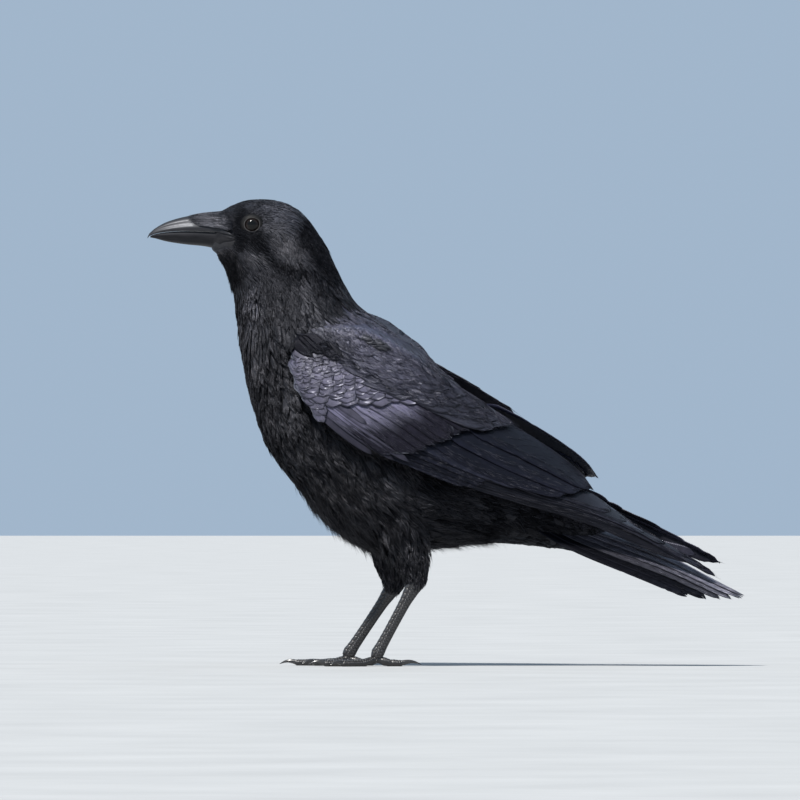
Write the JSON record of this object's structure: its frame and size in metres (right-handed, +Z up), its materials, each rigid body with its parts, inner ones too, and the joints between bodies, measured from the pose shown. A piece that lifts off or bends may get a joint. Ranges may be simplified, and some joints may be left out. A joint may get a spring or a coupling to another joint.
{
  "type": "crow",
  "caption": "All-black crow standing in profile, head raised, wings folded over the rump and tail slanting down behind; a still, life-size museum-type model.",
  "frame": {"origin": "on the floor, under the middle of the whole bird's box, with the soles at Z = 0", "axes": "+Z up; the bird faces -X, so the bill tip has the lowest X and the tail tip the highest; +Y is the bird's right side"},
  "size_m": [0.3822, 0.1098, 0.2992],
  "materials": {
    "plumage": "overlapping black body and covert feathers with a faint blue and violet gloss",
    "flight_feathers": "stiff black wing and tail feathers with fine barbs and a dark blue sheen",
    "bill": "smooth black horn with soft grey highlights",
    "leg_skin": "black scutes on the shanks and toes, slightly glossy",
    "claw": "smooth black horn",
    "eye": "wet and very dark brown"
  },
  "bodies": {
    "root": {"head": "plumage", "neck": "plumage", "trunk": "plumage", "rump": "plumage", "tail": "flight_feathers", "left_wing_coverts": "plumage", "left_wing_secondaries": "flight_feathers", "left_wing_primaries": "flight_feathers", "left_thigh": "plumage", "left_tarsus": "leg_skin", "left_toe_middle": "leg_skin", "left_claw_middle": "claw", "left_toe_inner": "leg_skin", "left_claw_inner": "claw", "left_toe_outer": "leg_skin", "left_claw_outer": "claw", "left_toe_hind": "leg_skin", "left_claw_hind": "claw", "left_eye": "eye", "right_wing_coverts": "plumage", "right_wing_secondaries": "flight_feathers", "right_wing_primaries": "flight_feathers", "right_thigh": "plumage", "right_tarsus": "leg_skin", "right_toe_middle": "leg_skin", "right_claw_middle": "claw", "right_toe_inner": "leg_skin", "right_claw_inner": "claw", "right_toe_outer": "leg_skin", "right_claw_outer": "claw", "right_toe_hind": "leg_skin", "right_claw_hind": "claw", "right_eye": "eye", "upper_bill": "bill", "lower_bill": "bill"}
  },
  "joints": []
}
